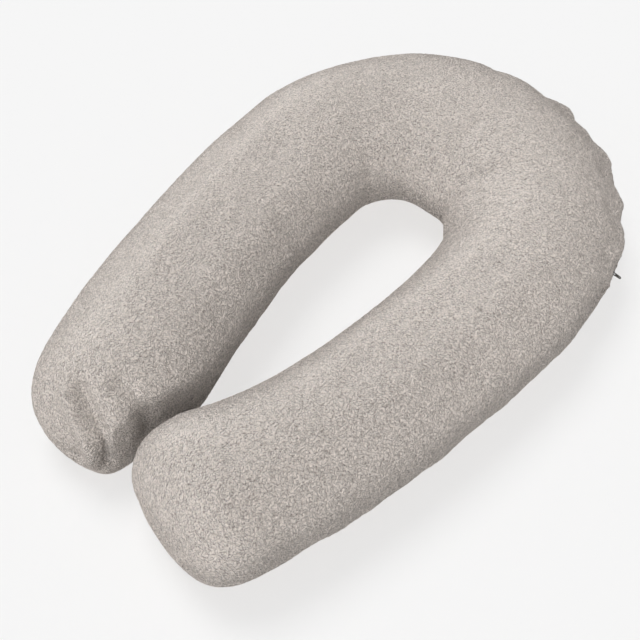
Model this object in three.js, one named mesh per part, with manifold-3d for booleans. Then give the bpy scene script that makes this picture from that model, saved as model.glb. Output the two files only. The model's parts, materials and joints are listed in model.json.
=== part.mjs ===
// A U-shaped nursing pillow, lying flat with the two arm ends pressed together.
// A zipped fluffy cover of two panels holds a sewn inner case full of loose filling.
// Millimetres, +Z up, +Y from the arm ends towards the bend.
import * as THREE from 'three';
import Module from 'manifold-3d';
import { mergeVertices } from 'three/addons/utils/BufferGeometryUtils.js';

const wasm = await Module();
wasm.setup();

// ---- Driving dimensions ----
// The centreline: a half circle about the bend's centre, then two slightly curved arms.
const BEND_RADIUS = 185;
const ARM_CURVE_RADIUS = 1400;
const FAR_ARM = {
  side: -1, length: 587, turn: 0, midWidth: 112, endWidth: 130, endHeight: 80, cap: 137, capExponent: 2.5,
};
const NEAR_ARM = {
  side: 1, length: 607, turn: -1.5, midWidth: 107, endWidth: 127, endHeight: 85, cap: 122, capExponent: 2.9,
};
const BEND_HALF_WIDTH = 138;
const BEND_HALF_HEIGHT = 75;
const APEX_EASE = 0.06; // rounds the change of width at the top of the bend, as a share of an arm
// Height of a section's middle as a share of its half height. Under 1, so the underside lies flat.
const MIDDLE_LEVEL = 0.94;
const SEAM_DIP = 0.26; // away from the zip, the seam runs lower by this share of the half height
const DIP_FRONT = [-12, 4]; // degrees about the bend's centre, where the outer seam rises to the zip
const DIP_BACK = [118, 134];
const SECTION_EXPONENT = 2.25;
const CONTACT_X = 4; // plane where the two arm ends meet
const CONTACT_LEAN = 12; // the near arm's tip leans over the far arm's by this much
const LEAN_RANGE = [420, 600]; // distances towards the tips over which it does
const CONTACT_GAP = 3;
const CONTACT_SOFTNESS = 14;

// The outer rim of the bend is a true arc, so that the zip slider can run along it.
const RIM_CENTRE = new THREE.Vector2(-4, 21);
const RIM_RADIUS = 298;
const RIM_RANGE = [8, 122]; // degrees about the bend's centre
const RIM_BLEND = 14;

const COVER_THICKNESS = 3;
const CASE_DEPTH = 5.5;
const CASE_DEPTH_AT_ZIP = 9.5;
const CASE_SINKS = [-4, 10]; // degrees about the bend's centre, towards the zip's front end
const CASE_RISES = [115, 130]; // and past its back end
const CASE_SINKS_OUTSIDE = [225, 285]; // distances from the bend's centre
const CASE_THICKNESS = 1;
const FILL_GAP = 1;
const COVER_THREAD_RADIUS = 0.45;
const CASE_THREAD_RADIUS = 0.4;
const SEAM_HALF_GAP = 1;
const ZIP_HALF_GAP = 5.8;
const ZIP_OPENING = [16, 113]; // degrees about the bend's centre, where the panels part
const ZIP_OPENING_BLEND = 4;

// The zip, by degrees about the rim's centre, and by depth inside the rim.
const TAPE_RANGE = [14.6, 112.4];
const COIL_RANGE = [16.76, 110.6];
const TOP_STOP_RANGE = [16.0, 16.7];
const BOTTOM_STOP_RANGE = [110.66, 111.4];
const FRONT_TACK_RANGE = [14.8, 15.3];
const BACK_TACK_RANGE = [111.8, 112.3];
const GUARD_RANGE = [13.5, 113.5];
const LABEL_RANGE = [4, 8];
const ZIP_STEP = 2.5;
const SLIDER_ANGLE = 18;
const PULL_ANGLE = -22; // the pull's direction at rest, from straight outwards
const PIVOT_OUTSIDE = 0.45; // the pull's pivot, outside the rim

const seamHeight = MIDDLE_LEVEL * BEND_HALF_HEIGHT;
const rad = THREE.MathUtils.degToRad;
const smooth = (x, low, high) => THREE.MathUtils.smoothstep(x, low, high);

// ---- The pillow's skin ----

// Centreline point and outward direction at a signed distance from the top of the bend.
function centreline(distance, arm) {
  const bendAngle = Math.PI / 2 + rad(arm.turn);
  const bendLength = bendAngle * BEND_RADIUS;
  const inBend = Math.min(distance, bendLength);
  const angle = Math.PI / 2 - inBend / BEND_RADIUS;
  const outward = new THREE.Vector2(Math.cos(angle), Math.sin(angle));
  const point = outward.clone().multiplyScalar(BEND_RADIUS);
  if (distance > bendLength) {
    const turn = (distance - bendLength) / ARM_CURVE_RADIUS;
    const arcCentre = point.clone().addScaledVector(outward, -ARM_CURVE_RADIUS);
    outward.rotateAround(new THREE.Vector2(), -turn);
    point.copy(arcCentre).addScaledVector(outward, ARM_CURVE_RADIUS);
  }
  if (arm.side < 0) {
    point.x *= -1;
    outward.x *= -1;
  }
  return { point, outward, bendLength };
}

// Distance from the bend's centre to the rim arc, in a direction given in degrees.
function rimDistance(degrees) {
  const direction = new THREE.Vector2(Math.cos(rad(degrees)), Math.sin(rad(degrees)));
  const along = direction.dot(RIM_CENTRE);
  return along + Math.sqrt(along ** 2 - RIM_CENTRE.lengthSq() + RIM_RADIUS ** 2);
}

// Half width and half height of the section at a share of the way to the arm's end.
function sectionSize(arm, plainShare, distance, bendLength) {
  const share = Math.hypot(plainShare, APEX_EASE) - APEX_EASE;
  const inner = BEND_HALF_WIDTH * (1 - share) * (1 - 2 * share)
    + arm.midWidth * 4 * share * (1 - share) + arm.endWidth * share * (2 * share - 1);
  const degrees = 90 - arm.side * THREE.MathUtils.radToDeg(distance / BEND_RADIUS);
  const onRim = smooth(degrees, RIM_RANGE[0] - RIM_BLEND, RIM_RANGE[0])
    * (1 - smooth(degrees, RIM_RANGE[1], RIM_RANGE[1] + RIM_BLEND));
  const outer = THREE.MathUtils.lerp(inner, rimDistance(degrees) - BEND_RADIUS, onRim);
  const armShare = Math.max(0, (distance - bendLength) / (arm.length));
  const height = THREE.MathUtils.lerp(BEND_HALF_HEIGHT, arm.endHeight, smooth(armShare, 0, 1));
  return { inner, outer, height };
}

// A soft limit that flattens each arm end where it meets the other.
function pressed(x, y, side) {
  if (y > -BEND_RADIUS) return x;
  const limit = side * (CONTACT_X - CONTACT_LEAN * smooth(-y, ...LEAN_RANGE)) + CONTACT_GAP / 2;
  const over = side * x - limit;
  return side * (limit + CONTACT_SOFTNESS * Math.log1p(Math.exp(over / CONTACT_SOFTNESS)));
}

const bendDegrees = ({ arm, distance }) => 90 - arm.side * THREE.MathUtils.radToDeg(distance / BEND_RADIUS);

// One closed section of the skin. Levels are heights from the seam, 0, to the top or underside, 1.
function section({ arm, distance }, levels) {
  const end = centreline(0, arm).bendLength + arm.length;
  const { point, outward, bendLength } = centreline(distance, arm);
  const size = sectionSize(arm, distance / end, distance, bendLength);
  const intoCap = Math.min(1, Math.max(0, (distance - end + arm.cap) / arm.cap));
  const shrink = (1 - intoCap ** arm.capExponent) ** (1 / arm.capExponent);
  const middleHeight = (MIDDLE_LEVEL - SEAM_DIP * intoCap ** 2) * size.height;
  const degrees = bendDegrees({ arm, distance });
  const atZip = smooth(degrees, ...DIP_FRONT) * (1 - smooth(degrees, ...DIP_BACK));
  const fullDip = shrink > 0 ? SEAM_DIP * (1 - intoCap ** 2) / shrink : 0;
  const place = (share, side) => {
    const dip = side > 0 ? fullDip * (1 - atZip) : fullDip;
    const level = share - dip * (1 - Math.abs(share));
    const reach = (1 - Math.abs(level) ** SECTION_EXPONENT) ** (1 / SECTION_EXPONENT);
    const lateral = side * reach * shrink * (side > 0 ? size.outer : size.inner);
    const x = point.x + outward.x * lateral;
    const y = point.y + outward.y * lateral;
    const z = Math.max(0, middleHeight + level * shrink * size.height);
    return new THREE.Vector3(pressed(x, y, arm.side), y, z);
  };
  const over = levels.top.slice(1, -1);
  const under = levels.bottom.slice(1, -1);
  return [
    place(0, 1), ...over.map((v) => place(v, 1)), place(levels.top.at(-1), 0),
    ...over.toReversed().map((v) => place(v, -1)), place(0, -1),
    ...under.map((v) => place(-v, -1)), place(-levels.bottom.at(-1), 0),
    ...under.toReversed().map((v) => place(-v, 1)),
  ];
}

// Distances along one arm, from the top of the bend to the tip.
function armStations(arm, bendDegrees, armSteps, capSteps) {
  const { bendLength } = centreline(0, arm);
  const straight = arm.length - arm.cap;
  const stations = bendDegrees.map((v) => rad(v) * BEND_RADIUS);
  for (let i = 0; i < armSteps; i++) stations.push(bendLength + (straight * i) / armSteps);
  for (let i = 0; i <= capSteps; i++) {
    const angle = (Math.PI / 2) * (i / capSteps);
    stations.push(bendLength + straight + arm.cap * Math.sin(angle) ** (2 / arm.capExponent));
  }
  return stations.map((distance) => ({ arm, distance }));
}

// The whole skin as a grid of points with normals, from the far arm's tip to the near arm's.
function skinGrid(farBend, nearBend, levels, armSteps, capSteps) {
  const far = armStations(FAR_ARM, farBend, armSteps, capSteps).toReversed();
  const near = armStations(NEAR_ARM, nearBend, armSteps, capSteps);
  const stations = [...far, ...near];
  const sections = stations.map((station) => section(station, levels));
  const count = sections[0].length;
  const rows = sections.map((current, i) => current.map((point, j) => {
    const before = sections[Math.max(0, i - 1)][j];
    const after = sections[Math.min(sections.length - 1, i + 1)][j];
    const along = after.clone().sub(before);
    const left = current[(j + 1) % count];
    const right = current[(j + count - 1) % count];
    const around = left.clone().sub(right);
    const normal = around.cross(along).normalize();
    return { point, normal };
  }));
  for (const [i, next] of [[0, 1], [rows.length - 1, rows.length - 2]]) {
    const tip = rows[i][0].point;
    const middle = new THREE.Vector3();
    rows[next].forEach((v) => middle.addScaledVector(v.point, 1 / count));
    const outwards = tip.clone().sub(middle).setZ(0).normalize();
    rows[i].forEach((v) => v.normal.copy(outwards));
  }
  return { rows, stations, half: levels.top.length * 2 - 2 };
}

const inwards = ({ point, normal }, depth) => point.clone().addScaledVector(normal, -depth);

// ---- Solids from grids of points ----

class Triangles {
  positions = [];

  add(a, b, c) {
    const flat = a.distanceToSquared(b) * b.distanceToSquared(c) * c.distanceToSquared(a);
    if (flat > 0) [a, b, c].forEach((v) => this.positions.push(v.x, v.y, v.z));
  }

  quad(a, b, c, d) {
    this.add(a, b, c);
    this.add(a, c, d);
  }

  strip(first, second, isFlipped = false) {
    for (let i = 0; i + 1 < first.length; i++) {
      if (isFlipped) this.quad(first[i], second[i], second[i + 1], first[i + 1]);
      else this.quad(first[i], first[i + 1], second[i + 1], second[i]);
    }
  }

  geometry() {
    const geometry = new THREE.BufferGeometry();
    geometry.setAttribute('position', new THREE.Float32BufferAttribute(this.positions, 3));
    geometry.computeVertexNormals();
    return geometry;
  }
}

// A shell between two grids of the same layout, closed round its border.
function shell(outer, inner) {
  const triangles = new Triangles();
  for (let i = 0; i + 1 < outer.length; i++) {
    triangles.strip(outer[i], outer[i + 1]);
    triangles.strip(inner[i], inner[i + 1], true);
    triangles.quad(outer[i + 1][0], inner[i + 1][0], inner[i][0], outer[i][0]);
    triangles.quad(outer[i].at(-1), inner[i].at(-1), inner[i + 1].at(-1), outer[i + 1].at(-1));
  }
  return triangles.geometry();
}

// A closed bar: the rows are closed outlines of the same even number of points, the second half
// of each running back beside the first.
function bar(rows, isLoop = false) {
  const triangles = new Triangles();
  const closed = rows.map((row) => [...row, row[0]]);
  const last = isLoop ? closed.length : closed.length - 1;
  for (let i = 0; i < last; i++) triangles.strip(closed[i], closed[(i + 1) % closed.length]);
  if (!isLoop) {
    const [start, end] = [rows[0], rows.at(-1)];
    for (let i = 0; i + 1 < start.length / 2; i++) {
      const [across, back] = [start.length - 2 - i, start.length - 1 - i];
      triangles.quad(start[back], start[across], start[i + 1], start[i]);
      triangles.quad(end[i], end[i + 1], end[across], end[back]);
    }
  }
  return triangles.geometry();
}

// One panel, upper or lower, of a given thickness at a given depth under the skin.
// Its edge stops short of the seam by a half gap that may change along the skin.
function panel(grid, isUpper, depthAt, thickness, halfGapAt) {
  const { rows, half, stations } = grid;
  const layer = (extra) => rows.map((row, i) => {
    const side = isUpper ? row.slice(0, half + 1) : [...row.slice(half), row[0]];
    const gap = halfGapAt(stations[i]);
    if (i === 0 || i === rows.length - 1) {
      const tip = inwards(row[0], depthAt(row[0]) + extra);
      return side.map(() => tip.clone().setZ(tip.z + (isUpper ? gap : -gap)));
    }
    const edge = (at, towards) => {
      const rise = Math.abs(towards.point.z - at.point.z);
      const t = rise > 0 ? Math.min(0.9, gap / rise) : 0;
      return {
        point: at.point.clone().lerp(towards.point, t),
        normal: at.normal.clone().lerp(towards.normal, t).normalize(),
      };
    };
    const trimmed = [edge(side[0], side[1]), ...side.slice(1, -1), edge(side.at(-1), side.at(-2))];
    return trimmed.map((v) => inwards(v, depthAt(v) + extra));
  });
  const outer = layer(0);
  const inner = layer(thickness);
  return shell(outer, inner);
}

// ---- Grids ----

const ARM_STEPS = 7;
const CAP_STEPS = 4;

// Degrees round each side of the bend from its top, close together along the zip.
const zipBend = [0, 5, 10, 15, 20, 25, 30, 35, 40, 45, 50, 55, 60, 65, 70];
const coverLevels = {
  top: [0, 0.08, 0.21, 0.45, 0.7, 0.88, 0.97, 1],
  bottom: [0, 0.08, 0.21, 0.45, 0.7, 0.88, 0.94, 1],
};
const caseLevels = { top: [0, 0.3, 0.6, 0.85, 1], bottom: [0, 0.3, 0.6, 0.86, 0.94, 1] };
const farCoverBend = [5, 10, 15, 20, 23, 27, 36, 45, 54, 63, 72, 81];
const nearCoverBend = [...zipBend, 74, 78, 83];
const farCaseBend = [10, 20, 30, 45, 60, 75];
const nearCaseBend = [0, 10, 20, 30, 40, 50, 60, 70, 80];
const coverGrid = skinGrid(farCoverBend, nearCoverBend, coverLevels, ARM_STEPS, CAP_STEPS);
const caseGrid = skinGrid(farCaseBend, nearCaseBend, caseLevels, ARM_STEPS, CAP_STEPS);

function coverHalfGap(station) {
  const degrees = bendDegrees(station);
  const open = smooth(degrees, ZIP_OPENING[0] - ZIP_OPENING_BLEND, ZIP_OPENING[0])
    * (1 - smooth(degrees, ZIP_OPENING[1], ZIP_OPENING[1] + ZIP_OPENING_BLEND));
  return THREE.MathUtils.lerp(SEAM_HALF_GAP, ZIP_HALF_GAP, open);
}

// The case sits deeper behind the zip, where the guard lies between it and the cover.
function caseDepth({ point }) {
  const degrees = THREE.MathUtils.radToDeg(Math.atan2(point.y, point.x));
  const along = smooth(degrees, ...CASE_SINKS) * (1 - smooth(degrees, ...CASE_RISES));
  const fromCentre = Math.hypot(point.x, point.y);
  const near = smooth(fromCentre, ...CASE_SINKS_OUTSIDE);
  return THREE.MathUtils.lerp(CASE_DEPTH, CASE_DEPTH_AT_ZIP, along * near);
}

// ---- Threads and labels along the seams ----

// Points of the seam line, round both arms, each with its outward normal.
function seamLine({ rows, half }, startRow, endRow) {
  const outerSide = rows.map((row) => row[0]);
  const innerSide = rows.map((row) => row[half]);
  return [
    ...outerSide.slice(startRow),
    ...innerSide.slice(1, -1).toReversed(),
    ...outerSide.slice(0, endRow + 1),
  ];
}

function thread(line, depth, radius, isLoop) {
  const rows = line.map(({ point, normal }) => {
    const flat = normal.clone().setZ(0).normalize();
    return [[radius, 0], [0, -radius], [-radius, 0], [0, radius]].map(([inward, up]) => {
      const v = point.clone().addScaledVector(flat, -(depth + inward));
      v.z += up;
      return v;
    });
  });
  return bar(rows, isLoop);
}

// ---- The zip ----

// A point at an angle about the rim's centre, a depth inside the rim and a rise above the seam.
function onRim(degrees, depth, rise) {
  const reach = RIM_RADIUS - depth;
  return new THREE.Vector3(
    RIM_CENTRE.x + reach * Math.cos(rad(degrees)),
    RIM_CENTRE.y + reach * Math.sin(rad(degrees)),
    seamHeight + rise,
  );
}

// A strip of constant outline, given as [depth, rise] points, along a stretch of the rim.
function rimStrip(outline, [start, end], isLower = false) {
  const steps = Math.max(1, Math.ceil((end - start) / ZIP_STEP));
  const points = isLower ? outline.map(([depth, rise]) => [depth, -rise]).toReversed() : outline;
  const rows = Array.from({ length: steps + 1 }, (_, i) => {
    const degrees = start + ((end - start) * i) / steps;
    return points.map(([depth, rise]) => onRim(degrees, depth, rise));
  });
  return bar(rows.toReversed());
}

const box = (depth, otherDepth, rise, otherRise) => [
  [depth, rise], [depth, otherRise], [otherDepth, otherRise], [otherDepth, rise],
];
const TAPE_OUTLINE = [[3.5, 3.5], [3.75, 6], [5.4, 15.5], [5.9, 15.5], [4.3, 6], [4.0, 3.5]];
const COIL_OUTLINE = box(2.4, 4.4, 0.8, 3.2);
const TOP_STOP_OUTLINE = box(2.1, 4.7, 0.7, 3.2);
const BOTTOM_STOP_OUTLINE = box(2.1, 4.7, -3.2, 3.2);
const TACK_OUTLINE = box(2.5, 3.1, -5, 5);
const GUARD_OUTLINE = box(7.0, 7.6, -17, 17);
const LABEL_OUTLINE = [[4.2, -3], [4.5, -3], [5.3, -12], [8.1, -22], [7.8, -22], [5.0, -12]];

function manifoldOf(geometry) {
  const bare = geometry.clone();
  ['normal', 'uv'].forEach((name) => bare.deleteAttribute(name));
  const merged = mergeVertices(bare, 1e-4);
  return new wasm.Manifold(new wasm.Mesh({
    numProp: 3,
    vertProperties: new Float32Array(merged.attributes.position.array),
    triVerts: new Uint32Array(merged.index.array),
  }));
}

function geometryOf(solid) {
  const { vertProperties, triVerts } = solid.getMesh();
  const geometry = new THREE.BufferGeometry();
  geometry.setAttribute('position', new THREE.BufferAttribute(vertProperties, 3));
  geometry.setIndex(new THREE.BufferAttribute(triVerts, 1));
  return geometry.toNonIndexed();
}

// A box by its low and high corners.
function block(low, high) {
  const size = high.map((v, k) => v - low[k]);
  const middle = high.map((v, k) => (v + low[k]) / 2);
  return manifoldOf(new THREE.BoxGeometry(...size).translate(...middle));
}

// A flat plate in the Y-Z plane, extruded along X from one depth to another.
function plate(outline, low, high, holes = []) {
  const shape = new THREE.Shape(outline.map(([y, z]) => new THREE.Vector2(y, z)));
  shape.holes = holes;
  const geometry = new THREE.ExtrudeGeometry(shape, {
    depth: high - low, bevelEnabled: false, curveSegments: 6,
  });
  const turn = new THREE.Matrix4().makeBasis(
    new THREE.Vector3(0, 1, 0), new THREE.Vector3(0, 0, 1), new THREE.Vector3(1, 0, 0),
  );
  return manifoldOf(geometry.applyMatrix4(turn).translate(low, 0, 0));
}

// The slider, with X outwards from the rim, Y along the zip and Z up. Its wide front end points along -Y.
const SLIDER_PLATE = [
  [-5.5, -3.4], [-4.6, -4.6], [-1, -4.6], [4.2, -3.9], [5.5, -2.8],
  [5.5, 2.8], [4.2, 3.9], [-1, 4.6], [-4.6, 4.6], [-5.5, 3.4],
];
const OUTER_PLATE = [-1.9, -0.6]; // from the coils' side to the outside
const INNER_PLATE = [-6.1, -4.9];
const OVERLAP = 0.1; // how far joined blocks reach into each other
const POST = { front: -5, back: -1.6, halfHeight: 0.4 }; // parts the coils at the slider's wide end
const BRIDGE = { halfLength: 3.4, leg: 0.9, top: 2.4, thickness: 1, halfWidth: 1 };
const FLANGE = { inner: 3.7, outer: 4.4, back: -4, front: 1.2, outerTip: -3.0, innerTip: -4.5 };

function slider() {
  const [outerLow, outerHigh] = OUTER_PLATE;
  const [innerLow, innerHigh] = INNER_PLATE;
  const { halfLength, leg, top, thickness, halfWidth } = BRIDGE;
  const legBase = outerHigh - OVERLAP;
  const parts = [
    plate(SLIDER_PLATE, outerLow, outerHigh),
    plate(SLIDER_PLATE, innerLow, innerHigh),
    block(
      [innerHigh - OVERLAP, POST.front, -POST.halfHeight],
      [outerLow + OVERLAP, POST.back, POST.halfHeight],
    ),
    block([legBase, -halfLength, -halfWidth], [top, leg - halfLength, halfWidth]),
    block([legBase, halfLength - leg, -halfWidth], [top, halfLength, halfWidth]),
    block([top - thickness, -halfLength, -halfWidth], [top, halfLength, halfWidth]),
  ];
  for (const side of [-1, 1]) {
    const [low, high] = side > 0 ? [FLANGE.inner, FLANGE.outer] : [-FLANGE.outer, -FLANGE.inner];
    parts.push(block([FLANGE.outerTip, FLANGE.back, low], [outerLow + OVERLAP, FLANGE.front, high]));
    parts.push(block([innerHigh - OVERLAP, FLANGE.back, low], [FLANGE.innerTip, FLANGE.front, high]));
  }
  return geometryOf(parts.reduce((whole, part) => whole.add(part)));
}

// The pull: a ring bar under the bridge, then a flat tab with an eye near its tip. X runs along the tab.
const PULL = {
  length: 14.3, halfWidth: 2.7, thickness: 1.1, eye: 1.1, eyeInset: 0.2,
  barHalf: 0.55, windowEnd: 4.7, limbInner: 1.6, shoulder: 0.3, taper: 1.5,
};

function pullTab() {
  const half = PULL.halfWidth;
  const wide = half + PULL.shoulder;
  const outline = new THREE.Shape();
  outline.moveTo(-PULL.barHalf, -wide);
  outline.lineTo(PULL.windowEnd, -wide);
  outline.lineTo(PULL.windowEnd + PULL.taper, -half);
  outline.lineTo(PULL.length - half, -half);
  outline.absarc(PULL.length - half, 0, half, -Math.PI / 2, Math.PI / 2, false);
  outline.lineTo(PULL.windowEnd + PULL.taper, half);
  outline.lineTo(PULL.windowEnd, wide);
  outline.lineTo(-PULL.barHalf, wide);
  const window = new THREE.Path([
    [PULL.barHalf, -PULL.limbInner], [PULL.barHalf, PULL.limbInner],
    [PULL.windowEnd, PULL.limbInner], [PULL.windowEnd, -PULL.limbInner],
  ].map(([x, z]) => new THREE.Vector2(x, z)));
  const eye = new THREE.Path().absarc(PULL.length - half - PULL.eyeInset, 0, PULL.eye, 0, 2 * Math.PI, true);
  outline.holes = [window, eye];
  const geometry = new THREE.ExtrudeGeometry(outline, {
    depth: PULL.thickness, bevelEnabled: false, curveSegments: 8,
  });
  return geometry.translate(0, 0, -PULL.thickness / 2).rotateX(Math.PI / 2);
}

// ---- Materials ----

const material = (color, roughness, metalness = 0) =>
  new THREE.MeshStandardMaterial({ color, roughness, metalness });
const boucle = () => material(0xb9b1aa, 0.95);
const cotton = () => material(0xe9e6df, 0.9);
const fibre = () => material(0xf4f3ef, 1);
const sewingThread = () => material(0xb3aaa2, 0.8);
const tapeWeave = () => material(0xa79f98, 0.85);
const nylon = () => material(0x9c948d, 0.5);
const satin = () => material(0xf2f1ee, 0.6);
const darkMetal = () => material(0x3b3835, 0.35, 0.9);

// ---- Assembly ----

const pillow = new THREE.Group();

function add(name, geometry, finish, parent = pillow) {
  const mesh = new THREE.Mesh(geometry, finish);
  mesh.name = name;
  parent.add(mesh);
  return mesh;
}

const coverDepth = () => 0;
add('cover_top_panel', panel(coverGrid, true, coverDepth, COVER_THICKNESS, coverHalfGap), boucle());
add('cover_bottom_panel', panel(coverGrid, false, coverDepth, COVER_THICKNESS, coverHalfGap), boucle());

const caseGap = () => SEAM_HALF_GAP;
add('inner_case_top_panel', panel(caseGrid, true, caseDepth, CASE_THICKNESS, caseGap), cotton());
add('inner_case_bottom_panel', panel(caseGrid, false, caseDepth, CASE_THICKNESS, caseGap), cotton());

const fillingRows = caseGrid.rows.map((row) => row.map((v) =>
  inwards(v, caseDepth(v) + CASE_THICKNESS + FILL_GAP)));
add('filling', bar(fillingRows), fibre());

// The cover's seam runs everywhere but along the zip.
const seamStart = coverGrid.stations.findIndex((v) => bendDegrees(v) < ZIP_OPENING[0] - ZIP_OPENING_BLEND);
const seamEnd = coverGrid.stations.findLastIndex((v) => bendDegrees(v) > ZIP_OPENING[1] + ZIP_OPENING_BLEND);
const coverSeam = seamLine(coverGrid, seamStart, seamEnd);
add('cover_seam_thread', thread(coverSeam, COVER_THICKNESS / 2, COVER_THREAD_RADIUS, false), sewingThread());
const caseSeam = seamLine(caseGrid, 0, -1).map(({ point, normal }) => ({
  normal, point: inwards({ point, normal }, caseDepth({ point })),
}));
add(
  'inner_case_seam_thread', thread(caseSeam, CASE_THICKNESS / 2, CASE_THREAD_RADIUS, true), sewingThread(),
);

for (const [name, isLower] of [['upper', false], ['lower', true]]) {
  add(`zip_tape_${name}`, rimStrip(TAPE_OUTLINE, TAPE_RANGE, isLower), tapeWeave());
  add(`zip_coil_${name}`, rimStrip(COIL_OUTLINE, COIL_RANGE, isLower), nylon());
  add(`zip_top_stop_${name}`, rimStrip(TOP_STOP_OUTLINE, TOP_STOP_RANGE, isLower), darkMetal());
}
add('zip_bottom_stop', rimStrip(BOTTOM_STOP_OUTLINE, BOTTOM_STOP_RANGE), darkMetal());
add('zip_bar_tack_front', rimStrip(TACK_OUTLINE, FRONT_TACK_RANGE), sewingThread());
add('zip_bar_tack_back', rimStrip(TACK_OUTLINE, BACK_TACK_RANGE), sewingThread());
add('zip_guard', rimStrip(GUARD_OUTLINE, GUARD_RANGE), cotton());
add('cover_care_label', rimStrip(LABEL_OUTLINE, LABEL_RANGE), satin());

const carriage = new THREE.Group();
carriage.position.copy(onRim(SLIDER_ANGLE, 0, 0));
carriage.rotation.z = rad(SLIDER_ANGLE);
pillow.add(carriage);
add('zip_slider', slider(), darkMetal(), carriage);
const pull = add('zip_pull_tab', pullTab(), darkMetal(), carriage);
pull.position.x = PIVOT_OUTSIDE;
pull.rotation.z = rad(PULL_ANGLE);

// The frame's origin is under the middle of the whole pillow, on the surface it lies on.
pillow.updateMatrixWorld(true);
const bounds = new THREE.Box3().setFromObject(pillow, true);
const middle = bounds.getCenter(new THREE.Vector3());
pillow.position.set(-middle.x, -middle.y, -bounds.min.z);
pillow.updateMatrixWorld(true);

export default pillow;
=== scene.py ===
"""A U-shaped nursing pillow in a curly teddy-fleece cover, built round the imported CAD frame.

The skin is swept along the pillow's U, swollen by a short cloth simulation, and then sculpted by formulas:
seams, gathers beside the zip and creases. The cover's two panels, the inner case and the filling are shells at
different depths under that skin. The zip's own pieces follow the arc that the CAD slider runs on.
"""
import json
import math

import bmesh
import bpy
import numpy as np
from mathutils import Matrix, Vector
from mathutils.bvhtree import BVHTree

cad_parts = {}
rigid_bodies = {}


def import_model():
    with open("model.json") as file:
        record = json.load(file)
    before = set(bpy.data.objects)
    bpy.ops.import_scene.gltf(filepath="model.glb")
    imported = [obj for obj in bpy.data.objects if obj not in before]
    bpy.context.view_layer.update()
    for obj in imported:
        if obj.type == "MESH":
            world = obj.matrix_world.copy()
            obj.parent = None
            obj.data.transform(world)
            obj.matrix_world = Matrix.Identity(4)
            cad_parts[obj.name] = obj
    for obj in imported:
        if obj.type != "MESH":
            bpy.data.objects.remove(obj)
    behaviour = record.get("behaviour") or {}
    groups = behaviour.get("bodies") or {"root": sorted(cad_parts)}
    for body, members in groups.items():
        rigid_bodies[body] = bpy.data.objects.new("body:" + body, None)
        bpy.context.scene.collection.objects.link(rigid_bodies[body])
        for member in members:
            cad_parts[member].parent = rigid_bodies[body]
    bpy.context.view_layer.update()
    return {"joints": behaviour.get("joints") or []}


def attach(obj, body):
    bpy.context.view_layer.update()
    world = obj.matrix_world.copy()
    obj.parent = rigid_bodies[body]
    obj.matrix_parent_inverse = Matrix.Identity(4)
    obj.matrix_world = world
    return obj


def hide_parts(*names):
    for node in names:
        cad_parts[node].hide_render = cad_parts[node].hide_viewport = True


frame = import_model()
MM = 0.001

# ---- driving dimensions, in metres and degrees
BEND_RADIUS = 185 * MM
ARM_CURVE_RADIUS = 1400 * MM
# Pairs are for the far arm, at -X, and the near arm, at +X.
ARM_LENGTH = (587 * MM, 607 * MM)
ARM_TURN = (0.0, math.radians(-1.5))
MID_HALF_WIDTH = (112 * MM, 107 * MM)
END_HALF_WIDTH = (130 * MM, 127 * MM)
END_HALF_HEIGHT = (80 * MM, 85 * MM)
CAP_LENGTH = (137 * MM, 122 * MM)
CAP_EXPONENT = (2.5, 2.9)
BEND_HALF_WIDTH = 138 * MM
BEND_HALF_HEIGHT = 75 * MM
APEX_EASE = 0.06  # how gently the widths change at the top of the bend, as a share of a side's length
# Where the outer and inner half widths depart from that: degrees round the bend, spread, and how much.
OUTER_CHANGE = (150, 23, -9 * MM)
INNER_CHANGE = (23, 25, 7 * MM)
MIDDLE_LEVEL = 0.94  # height of a section's middle, in half heights
SEAM_DIP = 0.26  # how far the seams lie below the middle, in half heights, except at the zip
DIP_FRONT, DIP_BACK = (-12, 4), (118, 134)  # degrees over which the outer seam rises to the zip and falls again
SECTION_EXPONENT = 2.25
SECTION_ASPECT = 0.62  # a typical section's half height to half width
FLOOR_SOFTNESS = 5 * MM
FLOOR_GAP = 1.0 * MM  # the lowest fleece stands this much over the floor
REST_HEIGHT = 80 * MM  # below which the skin is lowered to that gap
# The arms touch in a plane that leans towards the far arm over a range of distances from the bend's centre.
CONTACT_X = 4 * MM
CONTACT_LEAN = 30 * MM
LEAN_RANGE = (360 * MM, 540 * MM)
CONTACT_START = (120 * MM, 220 * MM)
CONTACT_GAP = 1.2 * MM
CONTACT_SOFTNESS = 9 * MM

# The rim arc of the zip: its axis is the slider's joint.
RIM_RADIUS = 298 * MM
RIM_CENTRE_FROM_BEND = Vector((-4 * MM, 21 * MM, 0))
RIM_RISE, RIM_FALL = (-6, 8), (122, 136)  # degrees over which the outline joins the arc and leaves it
joints = {joint["name"]: joint for joint in frame["joints"]}
rim_centre = Vector(joints["zip_slide"]["pos_m"])
bend_centre = rim_centre - RIM_CENTRE_FROM_BEND
seam_height = rim_centre.z
ZIP_RISE, ZIP_FALL = (13.3, 17.8), (112.6, 117.1)  # degrees over which the cover's lips part and meet again

COVER_THICKNESS = 3.0 * MM
CASE_DEPTH = 8 * MM
ZIP_DEPTH = 3 * MM  # how much deeper the case and the filling lie behind the zip
ZIP_DEPTH_FADE = (20 * MM, 60 * MM)  # and over which heights from the seam that fades out
CASE_THICKNESS = 1 * MM
FILLING_DEPTH = 10.5 * MM
CASE_FLOOR = 4.5 * MM  # lowest height of the case, over the cover's bottom panel
FILLING_FLOOR = 7 * MM


# ---- smooth steps and noise on arrays
def smooth(x, low, high):
    t = np.clip((x - low) / (high - low), 0, 1)
    return t * t * (3 - 2 * t)


def between(x, rise, fall):
    """1 from the end of a rise to the start of a fall, and 0 outside them."""
    return smooth(x, *rise) * (1 - smooth(x, *fall))


def bump(x, centre, width):
    return np.exp(-(((x - centre) / width) ** 2))


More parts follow.
